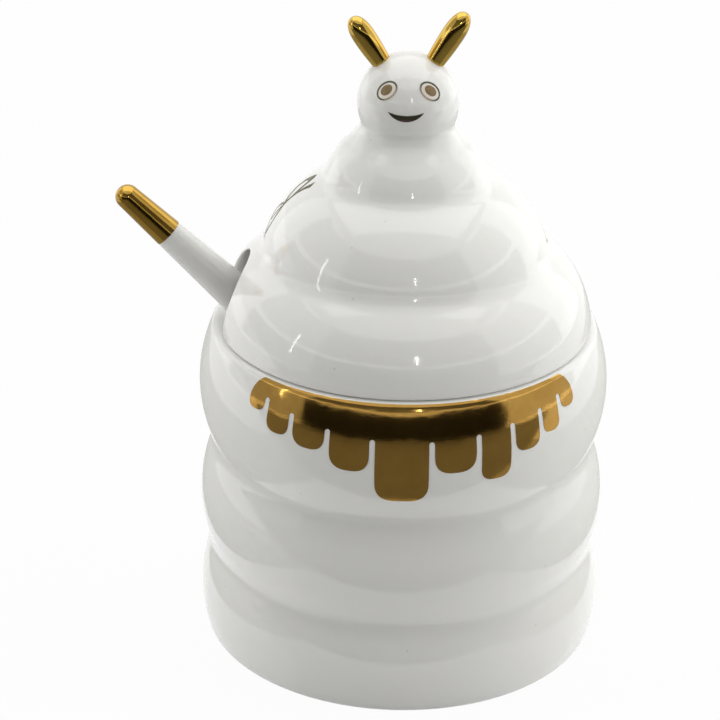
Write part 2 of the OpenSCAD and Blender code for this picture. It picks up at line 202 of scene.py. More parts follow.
def glaze(name, color, warm, rough):
    """Clear gloss glaze over white porcelain: a faint drift of tone, a few pin specks, and
    the slow waves and fine orange peel that its highlights show."""
    material = bpy.data.materials.new(name)
    material.use_nodes = True
    tree = material.node_tree
    shader = tree.nodes["Principled BSDF"]
    place, = wire(tree, ("ShaderNodeTexCoord", {}, {}))
    drift, speck, wave, peel = wire(
        tree,
        ("ShaderNodeTexNoise", {"Vector": (place, "Object"), "Scale": drift_scale, "Detail": 3.0}, {}),
        ("ShaderNodeTexVoronoi", {"Vector": (place, "Object"), "Scale": speck_scale}, {}),
        ("ShaderNodeTexNoise", {"Vector": (place, "Object"), "Scale": wave_scale, "Detail": 2.0}, {}),
        ("ShaderNodeTexNoise", {"Vector": (place, "Object"), "Scale": peel_scale, "Detail": 1.0}, {}))
    tone, dots, gloss = wire(
        tree,
        ("ShaderNodeMix", {"Factor": (drift, "Fac"), "A": color, "B": warm}, {"data_type": "RGBA"}),
        ("ShaderNodeMapRange", {"Value": (speck, "Distance"), "From Min": 0.03, "From Max": 0.05}, {}),
        ("ShaderNodeMapRange", {"Value": (drift, "Fac"), "From Min": 0.3, "From Max": 0.7,
                                "To Min": rough[0], "To Max": rough[1]}, {}))
    specked, = wire(
        tree,
        ("ShaderNodeMix", {"Factor": (dots, "Result"), "A": [c * speck_tone for c in color[:3]] + [1],
                           "B": (tone, "Result")}, {"data_type": "RGBA"}))
    tree.links.new(specked.outputs["Result"], shader.inputs["Base Color"])
    tree.links.new(gloss.outputs["Result"], shader.inputs["Roughness"])
    slow, = wire(tree, ("ShaderNodeBump", {"Height": (wave, "Fac"), "Strength": 0.5,
                                           "Distance": wave_height}, {}))
    fine, = wire(tree, ("ShaderNodeBump", {"Height": (peel, "Fac"), "Strength": 0.35,
                                           "Distance": peel_height, "Normal": (slow, "Normal")}, {}))
    tree.links.new(fine.outputs["Normal"], shader.inputs["Normal"])
    shader.inputs["IOR"].default_value = 1.52
    shader.inputs["Subsurface Weight"].default_value = 0.3
    shader.inputs["Subsurface Radius"].default_value = (1.0, 0.95, 0.85)
    shader.inputs["Subsurface Scale"].default_value = light_bleed
    shader.inputs["Coat Weight"].default_value = 0.35
    shader.inputs["Coat Roughness"].default_value = 0.03
    return material


def top_bulge(a, b):
    return pot_r - (a + b) / 2


pot_outside = [
    (foot_r, 0, edge_blend, top_bulge(foot_r, lower_groove[0])),
    (*lower_groove, groove_blend, top_bulge(lower_groove[0], upper_groove[0])),
    (*upper_groove, groove_blend, top_bulge(upper_groove[0], rim_r)),
    (rim_r, pot_h, edge_blend, 0)]
pot_inside = [
    (rim_r - wall, pot_h, edge_blend / 2, -top_bulge(upper_groove[0], rim_r)),
    (upper_groove[0] - wall, upper_groove[1], groove_blend, -top_bulge(lower_groove[0], upper_groove[0])),
    (lower_groove[0] - wall, lower_groove[1], groove_blend, -top_bulge(foot_r, lower_groove[0]) / 2),
    (foot_r - wall, floor_z, 3 * edge_blend, 0),
    (0, floor_z, 0, 0)]
ring_r = foot_r - edge_blend - foot_ring_w
pot_underside = [
    (0, foot_recess, 0, 0),
    (ring_r - foot_recess, foot_recess, 0.5 * mm, 0),
    (ring_r, 0, 0.4 * mm, 0)]
porcelain = glaze("porcelain", glaze_white, glaze_warm, glaze_rough)
pot = lathe("pot_body", outline(pot_underside + pot_outside + pot_inside))
pot.data.materials.append(porcelain)
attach(pot, "pot")
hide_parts("pot")


# Honey drips: a band of gold lustre brushed over the glaze on the front shoulder, with
# ten drips of unequal width and length that run down from it. It is a film, so it lies
# on the pot's wall and follows it, and its edge is as thin as the film.
film = 0.07 * mm
film_sink = 0.3
drip_gap = 1.35 * mm
drip_round = 4.6 * mm
drip_round_share = 0.44
drips_turn = math.radians(4)
band_h = 8.6 * mm
band_narrowing = 1.4
band_corner = 4.6 * mm
band_corner_fall = 1.2
drip_w = [w * mm for w in (5.2, 6.4, 8.4, 9.6, 12.6, 10, 7.6, 7, 5.3, 5.1)]
drip_len = [d * mm for d in (7.6, 11.4, 12.8, 16.5, 24, 16.6, 19.8, 14.2, 11.8, 7.8)]
gold_base = (0.56, 0.34, 0.09, 1)
gold_deep = (0.42, 0.23, 0.05, 1)
gold_rough = 0.10
cloud_scale, rub_scale, gild_wave_scale = 260.0, 700.0, 90.0
rub_stretch = (1, 1, 9)
gild_wave_height = 0.3 * mm
rub_height = 0.01 * mm


def lustre(name, light, deep, rough):
    """Fired gold lustre: a bright film that is a little thinner and browner in places, with
    fine rubbed lines that blur its reflections, over the slow waves of the glaze."""
    material = bpy.data.materials.new(name)
    material.use_nodes = True
    tree = material.node_tree
    shader = tree.nodes["Principled BSDF"]
    place, = wire(tree, ("ShaderNodeTexCoord", {}, {}))
    stretch, = wire(tree, ("ShaderNodeMapping", {"Vector": (place, "Object"), "Scale": rub_stretch}, {}))
    cloud, rub, wave = wire(
        tree,
        ("ShaderNodeTexNoise", {"Vector": (place, "Object"), "Scale": cloud_scale, "Detail": 5.0}, {}),
        ("ShaderNodeTexNoise", {"Vector": (stretch, "Vector"), "Scale": rub_scale, "Detail": 4.0}, {}),
        ("ShaderNodeTexNoise", {"Vector": (place, "Object"), "Scale": gild_wave_scale, "Detail": 2.0}, {}))
    tone, blur = wire(
        tree,
        ("ShaderNodeMix", {"Factor": (cloud, "Fac"), "A": light, "B": deep}, {"data_type": "RGBA"}),
        ("ShaderNodeMapRange", {"Value": (rub, "Fac"), "From Min": 0.3, "From Max": 0.7,
                                "To Min": rough * 0.7, "To Max": rough * 1.5}, {}))
    slow, = wire(tree, ("ShaderNodeBump", {"Height": (wave, "Fac"), "Strength": 0.6,
                                           "Distance": gild_wave_height}, {}))
    fine, = wire(tree, ("ShaderNodeBump", {"Height": (rub, "Fac"), "Strength": 0.25,
                                           "Distance": rub_height, "Normal": (slow, "Normal")}, {}))
    tree.links.new(tone.outputs["Result"], shader.inputs["Base Color"])
    tree.links.new(blur.outputs["Result"], shader.inputs["Roughness"])
    tree.links.new(fine.outputs["Normal"], shader.inputs["Normal"])
    shader.inputs["Metallic"].default_value = 1.0
    return material


gold = lustre("gold_lustre", gold_base, gold_deep, gold_rough)
pot_wall = np.array(outline(pot_outside + [(0, pot_h, 0, 0)]))[:-1]
top_z = pot_h - 0.25 * edge_blend
probe = 0.1 * mm


def on_wall(line, turn, z, lift):
    """A point on a turned wall, given as (r, z) upward, at an angle round the front and a
    height, lift clear of it."""
    r, above, below = (float(np.interp(at, line[:, 1], line[:, 0])) for at in (z, z + probe, z - probe))
    size = math.hypot(2 * probe, above - below)
    r, z = r + lift * 2 * probe / size, z - lift * (above - below) / size
    return Vector((r * math.sin(turn), -r * math.cos(turn), z))


def tongue(width, drop, top, rounding):
    """One drip's lower edge as (across, depth), from its left side to its right."""
    left = [(-width / 2, top)] + bend((-width / 2, drop - rounding), (-width / 2, drop),
                                      (-width / 2 + rounding, drop), 10)
    return [np.array(p, float) for p in left] + [np.array((-p[0], p[1]), float) for p in left[::-1]]


def band_depth(across):
    """How deep the band between two drips is, at a distance from the band's middle."""
    return band_h * math.cos(abs(across) / pot_r * band_narrowing)


def drips_edge():
    """The lower edge of the whole band, left to right, as (across, depth below the rim)."""
    span = sum(drip_w) + drip_gap * (len(drip_w) - 1)
    at, edge = -span / 2, []
    for i, (width, drop) in enumerate(zip(drip_w, drip_len)):
        middle = at + width / 2
        shape = tongue(width, drop, band_depth(middle), min(drip_round_share * width, drip_round))
        edge += [np.array((p[0] + middle, p[1])) for p in shape]
        if i < len(drip_w) - 1:
            between = at + width + drip_gap / 2
            edge += [np.array((between - math.cos(a) * drip_gap / 2,
                               band_depth(between) + drip_gap / 2 - math.sin(a) * drip_gap / 2))
                     for a in np.linspace(0.05, math.pi - 0.05, 9)]
        at += width + drip_gap
    return edge, span


def film_patch(name, columns, place, rows, lift):
    """A thin film over columns of (across, low, high): place(across, height, lift) sets it."""
    verts, faces = [], []
    for level in (lift, -film_sink * lift):
        for across, low, high in columns:
            for j in range(rows + 1):
                verts.append(place(across, lerp(high, low, j / rows), level))
    count, stride = len(columns), rows + 1
    half = count * stride
    for i in range(count - 1):
        for j in range(rows):
            a, b = i * stride + j, (i + 1) * stride + j
            faces.append((a, b, b + 1, a + 1))
            faces.append((half + a, half + a + 1, half + b + 1, half + b))
        for j in (0, rows):
            a, b = i * stride + j, (i + 1) * stride + j
            faces.append((a, b, half + b, half + a))
    for i in (0, count - 1):
        for j in range(rows):
            a = i * stride + j
            faces.append((a, a + 1, half + a + 1, half + a))
    return finished(name, verts, faces, sharp=50)


edge, span = drips_edge()
least_band = 0.02 * mm
columns = []
for across, depth in edge:
    inset = max(0.0, band_corner - (span / 2 - abs(across)))
    corner_drop = band_corner - math.sqrt(max(0.0, band_corner ** 2 - inset ** 2))
    high = min(top_z, pot_h - corner_drop * band_corner_fall)
    columns.append((across, min(pot_h - depth, high - least_band), high))
drips = film_patch("honey_drip_band", columns,
                   lambda across, z, lift: on_wall(pot_wall, drips_turn + across / pot_r, z, lift), 40, film)
drips.data.materials.append(gold)
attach(drips, "pot")
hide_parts("honey_drips")


# Lid: a hollow porcelain dome of three courses, cast in one piece, with a ring below that
# drops into the mouth. An arch is cut through its left side before firing for the dipper,
# and the glaze rounds every edge of the cut.
lid_edge_r = 45.5 * mm
lid_lower = (34.5 * mm, pot_h + 19 * mm)
lid_upper = (19.9 * mm, pot_h + 37.4 * mm)
lid_top = (6.3 * mm, pot_h + 50.6 * mm)
lid_bulge = 2.7 * mm
lid_wall = 3.6 * mm
flange_r = 41.9 * mm
flange_t = 3.1 * mm
flange_h = 4.5 * mm
arch_half = 12 * mm
arch_h = 16.4 * mm
arch_flare = 5 * mm
arch_round = 0.9 * mm
lid_groove_blend = 2.6 * mm
flange_round = 0.8 * mm
lip_out, lip_up, lip_in = 0.12 * mm, 0.9 * mm, 1.0 * mm

lid_slope = math.atan2(lid_top[1] - pot_h, lid_edge_r - lid_top[0])
inward = (-lid_wall * math.sin(lid_slope), -lid_wall * math.cos(lid_slope))
lid_outside = outline([
    (lid_edge_r, pot_h, 0, lid_bulge),
    (*lid_lower, lid_groove_blend, lid_bulge),
    (*lid_upper, lid_groove_blend, lid_bulge),
    (*lid_top, 0, 0)], steps=34)
lid_inside = outline([
    (flange_r - flange_t, pot_h, 0, lid_bulge / 2),
    (lid_lower[0] + inward[0], lid_lower[1] + inward[1], lid_groove_blend, lid_bulge),
    (lid_upper[0] + inward[0], lid_upper[1] + inward[1], lid_groove_blend, lid_bulge),
    (lid_top[0] + inward[0], lid_top[1] - lid_wall, 0, 0)], steps=24)


class Skin:
    """A surface turned about the pot's axis, reached by height."""

    def __init__(self, profile):
        profile = np.array(profile)
        self.r, self.z = profile[:, 0], profile[:, 1]

    def at(self, turn, z):
        """Turn is the angle from -X, positive toward the back."""
        r = float(np.interp(z, self.z, self.r))
        return Vector((-r * math.cos(turn), r * math.sin(turn), z))

    def on_arch(self, y, z):
        r = float(np.interp(z, self.z, self.r))
        return Vector((-math.sqrt(max(r * r - y * y, 0)), y, z))

    def turn_of(self, y, z):
        return math.asin(max(-1, min(1, y / float(np.interp(z, self.z, self.r)))))


def even(points, count):
    """The polyline through points, resampled at even steps."""
    points = np.array(points, float)
    length = np.concatenate([[0], np.cumsum(np.linalg.norm(np.diff(points, axis=0), axis=1))])
    at = np.linspace(0, length[-1], count)
    return np.stack([np.interp(at, length, points[:, i]) for i in range(points.shape[1])], 1)


def arch_side(grow):
    """Half of the arch's outline (y, z) from its top to its foot, moved grow into the lid."""
    half, middle = arch_half + grow, pot_h + arch_h - arch_half
    flare = min(arch_flare, arch_h - arch_half)
    round_top = [(half * math.sin(a), middle + half * math.cos(a)) for a in np.linspace(0, math.pi / 2, 24)]
    lift = pot_h + grow
    foot = bend((half, lift + flare), (half, lift), (half + arch_flare, lift), 12)
    return round_top + [tuple(p) for p in foot]


def lid_bottom():
    """The run (r, z) from the dome's outer edge under it, down round the ring and back up."""
    flange_in, flange_low = flange_r - flange_t, pot_h - flange_h
    return (
        bend((lid_edge_r + lip_out, pot_h + lip_up), (lid_edge_r, pot_h), (lid_edge_r - lip_in, pot_h), 4)
        + [np.array((flange_r, pot_h))]
        + bend((flange_r, flange_low + flange_round), (flange_r, flange_low),
               (flange_r - flange_round, flange_low), 3)
        + bend((flange_in + flange_round, flange_low), (flange_in, flange_low),
               (flange_in, flange_low + flange_round), 3))


# The lid's mesh is made of columns that run from the crown down the outside, round the edge
# and up the inside. Those near the arch start on its outline and spread out to arch_fan
# above it, and the next ones lean toward it, less and less, up to arch_calm.
arch_steps = 56
arch_fan = math.radians(34)
arch_calm = math.radians(75)
arch_gap = 0.004
calm_power = 1.3
lid_turns = 180
lid_rows = 46
inside_from = pot_h + 0.05 * mm
plain_above = (pot_h + 29 * mm, pot_h + 26 * mm)
row_gap = 0.3 * mm
outer_skin, inner_skin = Skin(lid_outside), Skin(lid_inside)


def arch_columns(count):
    """The columns over one half of the arch: (turn, outer start, points of the edge, inner end)."""
    columns = []
    true, moved = even(arch_side(0), arch_steps), even(arch_side(arch_round), arch_steps)
    for turn, (y, z), (ym, zm) in zip(np.linspace(0, arch_fan, arch_steps), true, moved):
        cut_out, cut_in = outer_skin.on_arch(y, z), inner_skin.on_arch(y, z)
        thick = (cut_in - cut_out).length
        a = lerp(cut_out, cut_in, arch_round / thick)
        b = lerp(cut_out, cut_in, 1 - arch_round / thick)
        first = [Vector(p) for p in bend(outer_skin.on_arch(ym, zm), cut_out, a, 4)]
        last = [Vector(p) for p in bend(b, cut_in, inner_skin.on_arch(ym, zm), 4)]
        middle = [lerp(a, b, t) for t in np.linspace(0, 1, count - len(first) - len(last) + 2)[1:-1]]
        columns.append((turn, (outer_skin.turn_of(ym, zm), zm), first + middle + last,
                        (inner_skin.turn_of(ym, zm), zm)))
    return columns


def plain_columns(bottom):
    """The columns from the arch's foot to the lid's far side, as arch_columns gives them."""
    columns = []
    foot_turn = outer_skin.turn_of(*even(arch_side(0), arch_steps)[-1])
    for turn in np.linspace(arch_fan, math.pi, lid_turns + 1 - arch_steps + 1)[1:]:
        share = max(0.0, (arch_calm - turn) / (arch_calm - arch_fan))
        low_turn = turn - (arch_fan - foot_turn - arch_gap) * share ** calm_power
        points = [Vector((-p[0] * math.cos(low_turn), p[0] * math.sin(low_turn), p[1])) for p in bottom]
        columns.append((turn, (low_turn, bottom[0][1]), points, (low_turn, inside_from)))
    return columns


def eased_run(skin, turn, end, top):
    """Points up a skin from (turn, height) end to a turn at the height top, end left out."""
    return [skin.at(lerp(turn, end[0], (1 - t) ** 2), lerp(end[1], top, t))
            for t in np.linspace(0, 1, lid_rows + 1)[1:]]


def lid_mesh(name):
    bottom = lid_bottom()
    columns = arch_columns(len(bottom)) + plain_columns(bottom)
    columns += [(-turn, (-start[0], start[1]), [Vector((p.x, -p.y, p.z)) for p in points], (-end[0], end[1]))
                for turn, start, points, end in columns[-2:0:-1]]
    above_out, above_in = ([z for z in skin.z if z > top + row_gap]
                           for skin, top in zip((outer_skin, inner_skin), plain_above))
    verts = []
    for turn, start, points, end in columns:
        verts += [outer_skin.at(turn, z) for z in reversed(above_out)]
        verts += eased_run(outer_skin, turn, start, plain_above[0])[::-1]
        verts += points
        verts += eased_run(inner_skin, turn, end, plain_above[1])
        verts += [inner_skin.at(turn, z) for z in above_in]
    stride = len(verts) // len(columns)
    caps = len(verts)
    verts += [Vector((0, 0, lid_top[1])), Vector((0, 0, lid_top[1] - lid_wall))]
    starts = [(k * stride, (k + 1) % len(columns) * stride) for k in range(len(columns))]
    faces = [(here + j, on + j, on + j + 1, here + j + 1) for here, on in starts for j in range(stride - 1)]
    for here, on in starts:
        faces += [(caps, on, here), (caps + 1, here + stride - 1, on + stride - 1)]
    return finished(name, verts, faces, sharp=38)


lid = lid_mesh("lid_shell")
lid.data.materials.append(porcelain)
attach(lid, "lid")
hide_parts("lid")


# Head: a round casting stuck on the top course while both were damp. The join is sponged
# to a short neck that runs into the course without a step, and the glaze covers it.
head_r = 12.1 * mm
head_z = pot_h + 56.1 * mm
neck_angle = math.radians(20)
neck_blend = 2.2 * mm
head_floor = head_z - head_r * 0.9
join_depth = 0.02 * mm
join_overlap = 5
lid_line = np.array([p for p in lid_outside if p[1] > lid_upper[1] + lid_groove_blend])
neck_point = np.array((head_r * math.cos(neck_angle), head_z - head_r * math.sin(neck_angle)))
neck_waist = neck_point - neck_blend * np.array((math.sin(neck_angle), math.cos(neck_angle)))
toward = lid_line[:-1] - neck_waist
along = np.diff(lid_line, axis=0)
turned_off = np.abs(toward[:, 0] * along[:, 1] - toward[:, 1] * along[:, 0])
turned_off /= np.linalg.norm(toward, axis=1) * np.linalg.norm(along, axis=1)
foot_at = int(np.argmin(turned_off + (toward[:, 0] < 0)))
head_profile = (
    [(0, head_floor)]
    + [(r - join_depth, z - join_depth) for r, z in lid_line[max(foot_at - join_overlap, 0):foot_at]]
    + [tuple(p) for p in bend(lid_line[foot_at], neck_waist, neck_point, 18)]
    + [(head_r * math.cos(a), head_z + head_r * math.sin(a))
       for a in np.linspace(-neck_angle, math.pi / 2, 60)[1:-1]]
    + [(0, head_z + head_r)])
head = lathe("bee_head", head_profile, segments=192)
head.data.materials.append(porcelain)
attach(head, "lid")
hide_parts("head")


# Antennae: two hand-rolled porcelain pegs, thickest past the middle and blunt at the end,
# set into the head and gilt all over. The right one is a little longer.
antenna_r = 2.7 * mm
antenna_root_r = 2.25 * mm
antenna_root = head_r * math.cos(neck_angle)
antenna_swell = 0.58
antenna_blunt = 2.3


def antenna_profile(reach):
    """From the root it swells to its thickest place, and from there it rounds off."""
    thick = lerp(antenna_root, reach, antenna_swell)
    points = [(0, antenna_root)]
    for t in np.linspace(0, 1, 16)[:-1]:
        swell = math.sin(t * math.pi / 2)
        points.append((lerp(antenna_root_r, antenna_r, swell), lerp(antenna_root, thick, t)))
    for a in np.linspace(0, math.pi / 2, 26)[:-1]:
        u = math.sin(a)
        points.append((antenna_r * (1 - u ** antenna_blunt) ** (1 / antenna_blunt), lerp(thick, reach, u)))
    return points + [(0, reach)]


bright_gold = lustre("bright_gold", (0.62, 0.42, 0.10, 1), (0.48, 0.30, 0.05, 1), 0.07)
for node, lean, reach in (("antenna_left", -33.5, 24.5), ("antenna_right", 31, 25.6)):
    stand = Matrix.Translation((0, 0, head_z)) @ Matrix.Rotation(math.radians(lean), 4, "Y")
    antenna = lathe("gilt_" + node, antenna_profile(reach * mm), segments=96, place=stand, sharp=70)
    antenna.data.materials.append(bright_gold)
    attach(antenna, "lid")
    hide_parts(node)


# Eyes: fired-on oval prints under the gloss. Each is an olive ring that turns peach on the
# side toward the nose, a cream ring inside it, and a brown-gold iris.
eye_l = 5.5 * mm
eye_w = 4.2 * mm
eye_tilt = math.radians(44)
eye_ring_w = 0.42 * mm
iris_l = 3.1 * mm
iris_w = 2.3 * mm
eye_turn = math.radians(28.8)
eye_lift = math.radians(29.8)
print_lift = 0.05 * mm
print_sink = 0.1 * mm
peach_from, peach_to = 2.8 * mm, 0.8 * mm
eye_middle = head_r * math.sin(eye_turn) * math.cos(eye_lift) + head_z + head_r * math.sin(eye_lift)


def printed(name, color, other, rough, metallic, nose_side=None):
    """Fired print: dense ceramic colour with a slightly uneven lay-down, under gloss. An
    eye's print may turn to another colour toward the nose."""
    material = bpy.data.materials.new(name)
    material.use_nodes = True
    tree = material.node_tree
    shader = tree.nodes["Principled BSDF"]
    place, = wire(tree, ("ShaderNodeTexCoord", {}, {}))
    cloud, = wire(
        tree, ("ShaderNodeTexNoise", {"Vector": (place, "Object"), "Scale": 900.0, "Detail": 4.0}, {}))
    tone, blur = wire(
        tree,
        ("ShaderNodeMix", {"Factor": (cloud, "Fac"), "A": color, "B": other}, {"data_type": "RGBA"}),
        ("ShaderNodeMapRange", {"Value": (cloud, "Fac"), "To Min": rough * 0.8, "To Max": rough * 1.3}, {}))
    if nose_side:
        parts, = wire(tree, ("ShaderNodeSeparateXYZ", {"Vector": (place, "Object")}, {}))
        side, = wire(tree, ("ShaderNodeMath", {0: (parts, "X")}, {"operation": "ABSOLUTE"}))
        both, = wire(tree, ("ShaderNodeMath", {0: (side, 0), 1: (parts, "Z")}, {"operation": "ADD"}))
        turned, = wire(tree, ("ShaderNodeMapRange", {"Value": (both, 0), "From Min": eye_middle - peach_from,
                                                     "From Max": eye_middle - peach_to}, {}))
        tone, = wire(tree, ("ShaderNodeMix", {"Factor": (turned, "Result"), "A": nose_side,
                                              "B": (tone, "Result")}, {"data_type": "RGBA"}))
    tree.links.new(tone.outputs["Result"], shader.inputs["Base Color"])
    tree.links.new(blur.outputs["Result"], shader.inputs["Roughness"])
    shader.inputs["Metallic"].default_value = metallic
    return material


def on_head(turn, lift, x, y, proud):
    """A point x, y off the line from the head's centre through a place on the face."""
    out = Vector((math.sin(turn) * math.cos(lift), -math.cos(turn) * math.cos(lift), math.sin(lift)))
    across = Vector((math.cos(turn), math.sin(turn), 0))
    rise = across.cross(out) * -1
    depth = math.sqrt(max(head_r ** 2 - x * x - y * y, 0))
    point = (out * depth + across * x + rise * y)
    return Vector((0, 0, head_z)) + point.normalized() * (head_r + proud)


def oval_print(name, side, inner, outer, material, proud, spin=72, steps=5):
    """A print between two ovals (length, width, offset toward the outer side), on one eye."""
    verts, faces = [], []
    tilt = side * -eye_tilt
    for level in (proud, -print_sink):
        for j in range(steps + 1):
            length, width, out_by = (lerp(a, b, j / steps) for a, b in zip(inner, outer))
            for k in range(spin):
                a = 2 * math.pi * k / spin
                along, wide = length / 2 * math.cos(a), width / 2 * math.sin(a) + out_by
                x = along * math.cos(tilt) - wide * math.sin(tilt)
                y = along * math.sin(tilt) + wide * math.cos(tilt)
                verts.append(on_head(side * eye_turn, eye_lift, x, y, level))
    half = (steps + 1) * spin
    for k in range(spin):
        n = (k + 1) % spin
        for j in range(steps):
            a, b, c, d = j * spin + k, j * spin + n, (j + 1) * spin + n, (j + 1) * spin + k
            faces.append((a, b, c, d))
            faces.append((half + d, half + c, half + b, half + a))
        for j in (0, steps):
            faces.append((j * spin + k, j * spin + n, half + j * spin + n, half + j * spin + k))
    piece = finished(name, verts, faces, sharp=60)
    piece.data.materials.append(material)
    return piece


olive_ring = printed("olive_ring_print", (0.055, 0.06, 0.025, 1), (0.10, 0.095, 0.045, 1), 0.22, 0.0,
                     nose_side=(0.70, 0.52, 0.38, 1))
cream_ring = printed("cream_ring_print", (0.90, 0.86, 0.79, 1), (0.86, 0.79, 0.70, 1), 0.2, 0.0)
iris_brown = printed("iris_print", (0.19, 0.13, 0.05, 1), (0.30, 0.21, 0.10, 1), 0.25, 0.1,
                     nose_side=(0.46, 0.26, 0.14, 1))
ring_out, iris_out = -0.04 * mm, 0.12 * mm
ring_in = (eye_l - 2 * eye_ring_w, eye_w - 2 * eye_ring_w, ring_out)
iris_start = 0.02 * mm
for side, node in ((-1, "eye_left"), (1, "eye_right")):
    rings = (("ring", ring_in, (eye_l, eye_w, 0), olive_ring, print_lift),
             ("white", (iris_l, iris_w, iris_out), ring_in, cream_ring, print_lift * 0.8),
             ("iris", (iris_start, iris_start, iris_out), (iris_l, iris_w, iris_out), iris_brown, print_lift))
    for part, low, high, material, proud in rings:
        eye = oval_print(f"{node}_{part}", side, low, high, material, proud)
        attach(eye, "lid")
        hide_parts(node)


# Mouth: a fired-on print of a closed smile, near black, with a painted highlight along its upper
# edge, a lighter green line, and a mauve tone in the middle of its lower lip.
mouth_half = 4.2 * mm
mouth_drop = 2.2 * mm
mouth_top_drop = 0.7 * mm
mouth_lift = math.radians(7.5)
mouth_turn = math.radians(-2.5)
highlight_edge_w = 0.16 * mm
lower_lip_w = 0.42 * mm
print_edge = 0.01 * mm


def sag(x, drop):
    """How far a circle through both corners of the mouth has dropped at x."""
    radius = (mouth_half ** 2 + drop ** 2) / (2 * drop)
    return math.sqrt(radius ** 2 - x * x) - (radius - drop)


def upper_lip(x):
    return -sag(x, mouth_top_drop)


def lower_lip(x):
    return -sag(x, mouth_drop)


def smile(name, share, color, other, lift, low, high):
    """A band of the mouth between two heights over x, out to a share of its half width."""
    columns = [(x, low(x), high(x)) for x in np.linspace(-mouth_half * share, mouth_half * share, 49)]
    band = film_patch(name, columns,
                      lambda x, y, proud: on_head(mouth_turn, mouth_lift, x, y, proud), 8, lift)
    band.data.materials.append(printed(name, color, other, 0.18, 0.0))
    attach(band, "lid")
    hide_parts("mouth")


smile("smile_print", 0.995, (0.020, 0.024, 0.012, 1), (0.045, 0.035, 0.02, 1), print_lift,
      lambda x: lower_lip(x) - print_edge / 2, upper_lip)
# The lighter green line along the mouth's upper edge is a painted highlight.
smile("smile_painted_highlight", 0.86, (0.085, 0.12, 0.035, 1), (0.05, 0.07, 0.02, 1), print_lift * 1.15,
      lambda x: upper_lip(x) - print_edge - highlight_edge_w, lambda x: upper_lip(x) - print_edge)
lip_share = 0.5
smile("smile_lower_lip", lip_share, (0.13, 0.07, 0.085, 1), (0.08, 0.045, 0.05, 1), print_lift * 1.15,
      lambda x: lower_lip(x) + 2 * print_edge,
      lambda x: lower_lip(x) + 3 * print_edge + lower_lip_w * (1 - (x / mouth_half / lip_share) ** 2))


# Wings: gold-brown line drawings on the lid's left side above the arch, done with a fine
# brush and fired on: an upper leaf with a thick stroke before it, and a lower leaf.
wing_turn = math.radians(87.5)
wing_root_z = lid_lower[1] + 11.2 * mm
wing_line_w = 0.6 * mm
upper_wing = (6.2 * mm, 3 * mm, math.radians(26))
wing_stroke = (1.3 * mm, math.radians(22))
lower_wing = (9 * mm, 5.4 * mm, math.radians(28))
wing_brush = 1.35
wing_fullness = 0.35
wing_gap = 0.03
upper_swell = (0.9 * mm, 1.6 * mm, 0.9 * mm)
stroke_swell = (1.5 * mm, 1.1 * mm, 1.1 * mm, 1.3 * mm)
vein_share = 0.6
vein_fade = 0.6
line_steps = 60
line_ridge = ((-1, -0.4), (-0.7, 0.8), (0, 1), (0.7, 0.8), (1, -0.4))
wing_gold = lustre("wing_line_gold", (0.14, 0.13, 0.06, 1), (0.08, 0.08, 0.04, 1), 0.2)
lid_wall_line = np.array(lid_outside)


def on_wing(x, y, lift):
    """A point of the drawing, x toward the front and y up from the wings' root."""
    z = wing_root_z + y
    r = float(np.interp(z, lid_wall_line[:, 1], lid_wall_line[:, 0]))
    return on_wall(lid_wall_line, -wing_turn + math.asin(max(-0.9, min(0.9, x / r))), z, lift)


def leaned(points, lean):
    """The points turned toward the back by an angle."""
    c, s = math.cos(lean), math.sin(lean)
    return [np.array((x * c - y * s, x * s + y * c)) for x, y in points]


def leaf(length, width, steps=70):
    """The outline of a wing from its root round its tip and back, fuller toward the tip."""
    return [(width / 2 * math.sin(a) * (1 - wing_fullness * math.cos(a)), length / 2 * (1 - math.cos(a)))
            for a in np.linspace(wing_gap, 2 * math.pi - wing_gap, steps)]


def drawn_line(points, widths, lift):
    """A low ridge of paint along the points, as wide as the widths say along its length."""
    points = even(points, line_steps)
    widths = np.interp(np.linspace(0, 1, line_steps), np.linspace(0, 1, len(widths)), widths)
    verts, faces = [], []
    last, sides = line_steps - 1, len(line_ridge)
    for i, p in enumerate(points):
        ahead = points[min(i + 1, last)] - points[max(i - 1, 0)]
        across = np.array([-ahead[1], ahead[0]]) / np.linalg.norm(ahead) * widths[i] / 2
        for share, rise in line_ridge:
            q = p + across * share
            verts.append(on_wing(q[0], q[1], lift * rise))
    for i in range(last):
        for j in range(sides):
            a, b = i * sides + j, i * sides + (j + 1) % sides
            faces.append((a, b, b + sides, a + sides))
    faces += [tuple(range(sides)), tuple(range(last * sides, line_steps * sides))[::-1]]
    return verts, faces


length, width, lean = upper_wing
thin, thick = wing_brush * wing_line_w, wing_brush * wing_stroke[0]
bow = [(-thick * t * (1 - t), length * t) for t in np.linspace(0, 1, 20)]
upper_lines = [(leaned(leaf(length, width), lean), (thin, thin, *upper_swell, thin, thin)),
               (leaned(bow, -wing_stroke[1]), (*stroke_swell, thick))]
length, width, lean = lower_wing
drop = np.array((0, -wing_line_w / 2))
lower_lines = [([p + drop for p in leaned(leaf(length, width), math.pi - lean)], (thin, thin, thin, thin)),
               ([p + drop for p in leaned([(0, thin), (0, length * vein_share)], math.pi - lean)],
                (thin, thin * vein_fade))]
for node, lines in (("wing_upper", upper_lines), ("wing_lower", lower_lines)):
    verts, faces = [], []
    for points, widths in lines:
        more_verts, more_faces = drawn_line(points, widths, film)
        faces += [tuple(i + len(verts) for i in f) for f in more_faces]
        verts += more_verts
    wing = finished("gold_" + node, verts, faces, sharp=60)
    wing.data.materials.append(wing_gold)
    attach(wing, "lid")
    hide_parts(node)


